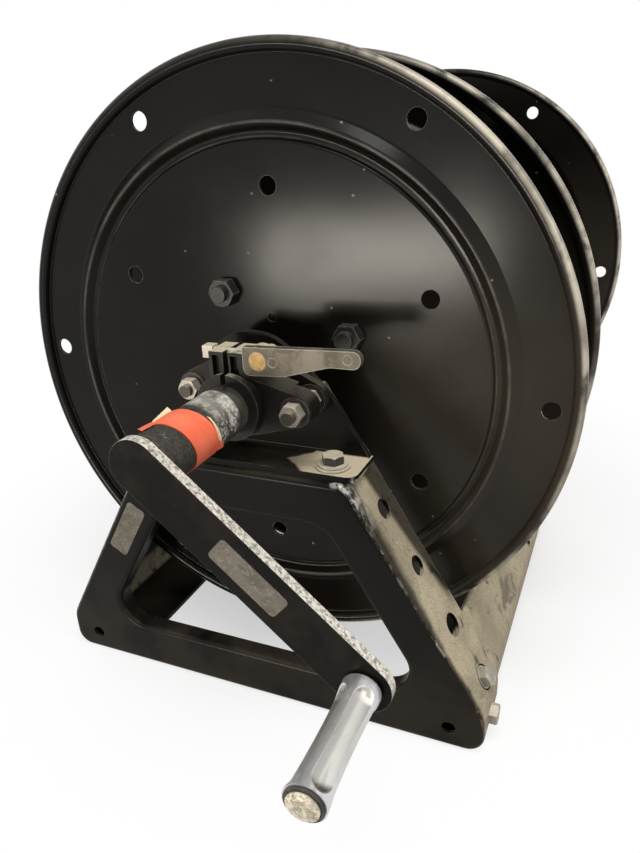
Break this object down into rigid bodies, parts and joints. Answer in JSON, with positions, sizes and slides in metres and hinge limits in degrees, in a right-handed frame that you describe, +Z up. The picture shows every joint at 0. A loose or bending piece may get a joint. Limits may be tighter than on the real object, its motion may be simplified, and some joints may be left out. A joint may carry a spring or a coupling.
{
  "type": "hose reel",
  "caption": "Floor-standing hand-cranked hose reel: divided drum on pressed end frames, with shaft brake, cam lever, turning grip and inlet swivel.",
  "frame": {"origin": "centre of the four floor bolt holes, on the floor under the middle of the drum", "axes": "+Z up, +Y along the drum's axis from the crank end to the inlet end, +X to the right as seen from the crank"},
  "size_m": [0.4572, 0.9117, 0.4866],
  "materials": {
    "black_frame": "satin black paint, dusty and worn at the bends",
    "black_drum": "gloss black paint, rims worn to bare metal",
    "black_casting": "black paint over cast iron",
    "black_hardware": "black paint",
    "zinc_hardware": "dull zinc plate",
    "bearing_steel": "ground",
    "shaft_steel": "bare, stained",
    "cast_lever": "plain casting, dusty",
    "brass": "dull",
    "friction_lining": "woven friction material",
    "black_crank": "black paint, bare along the edges",
    "grip_metal": "satin, grubby",
    "bush_bronze": "sintered",
    "black_rubber": "matt",
    "red_tape": "cloth tape, torn edges",
    "plate_metal": "bare plate, scuffed",
    "pipe_steel": "plated pipe fittings"
  },
  "bodies": {
    "root": {"front_frame": "black_frame", "rear_frame": "black_frame", "left_side_rail": "black_frame", "right_side_rail": "black_frame", "rail_bolts": "zinc_hardware", "rail_spacers": "zinc_hardware", "rail_nuts": "zinc_hardware", "front_bracket": "black_frame", "rear_bracket": "black_frame", "bracket_bolts": "zinc_hardware", "bracket_washers": "zinc_hardware", "bracket_nuts": "zinc_hardware", "front_bearing_housing": "black_casting", "rear_bearing_housing": "black_casting", "outer_races": "bearing_steel", "bearing_balls": "bearing_steel", "bearing_bolts": "zinc_hardware", "bearing_washers": "black_hardware", "bearing_nuts": "zinc_hardware", "brake_clamp": "black_casting", "brake_lining": "friction_lining", "brake_draw_bolt": "zinc_hardware", "brake_pivot_pin": "brass", "frame_plate": "plate_metal"},
    "drum": {"near_flange": "black_drum", "divider_flange": "black_drum", "far_flange": "black_drum", "short_core": "black_drum", "long_core": "black_drum", "near_hub": "black_drum", "divider_hub": "black_drum", "far_hub": "black_drum", "tie_rods": "black_hardware", "tie_nuts": "black_hardware", "front_shaft": "shaft_steel", "rear_shaft": "shaft_steel", "snap_ring": "bearing_steel", "inner_races": "bearing_steel", "locking_collars": "black_hardware", "set_screws": "bearing_steel", "shaft_manifold": "pipe_steel", "riser_pipe": "pipe_steel", "outlet_fitting": "pipe_steel", "crank_tube": "black_crank", "crank_pin": "bearing_steel", "crank_arm": "black_crank", "tape_band": "red_tape", "arm_plate": "plate_metal", "grip_bolt": "zinc_hardware", "grip_washers": "zinc_hardware", "grip_nut": "zinc_hardware"},
    "brake_lever": {"brake_lever": "cast_lever"},
    "grip": {"grip": "grip_metal", "grip_bushes": "bush_bronze", "grip_end_ring": "black_rubber"},
    "inlet_swivel": {"swivel_body": "brass", "swivel_cap": "brass", "swivel_screws": "zinc_hardware", "swivel_seals": "black_rubber", "inlet_elbow": "pipe_steel"}
  },
  "joints": [
    {"name": "drum_spin", "type": "hinge", "parent": "root", "child": "drum", "pos_m": [0, 0, 0.258], "axis": [0, 1, 0], "continuous": true},
    {"name": "brake_lever_swing", "type": "hinge", "parent": "root", "child": "brake_lever", "pos_m": [0.0268, -0.32045, 0.294], "axis": [0, -1, 0], "range_deg": [0, 90]},
    {"name": "grip_spin", "type": "hinge", "parent": "drum", "child": "grip", "pos_m": [0.13494, -0.47145, 0.1407], "axis": [0, 1, 0], "continuous": true},
    {"name": "inlet_swivel_spin", "type": "hinge", "parent": "root", "child": "inlet_swivel", "pos_m": [0, 0.32345, 0.258], "axis": [0, 1, 0], "continuous": true}
  ]
}
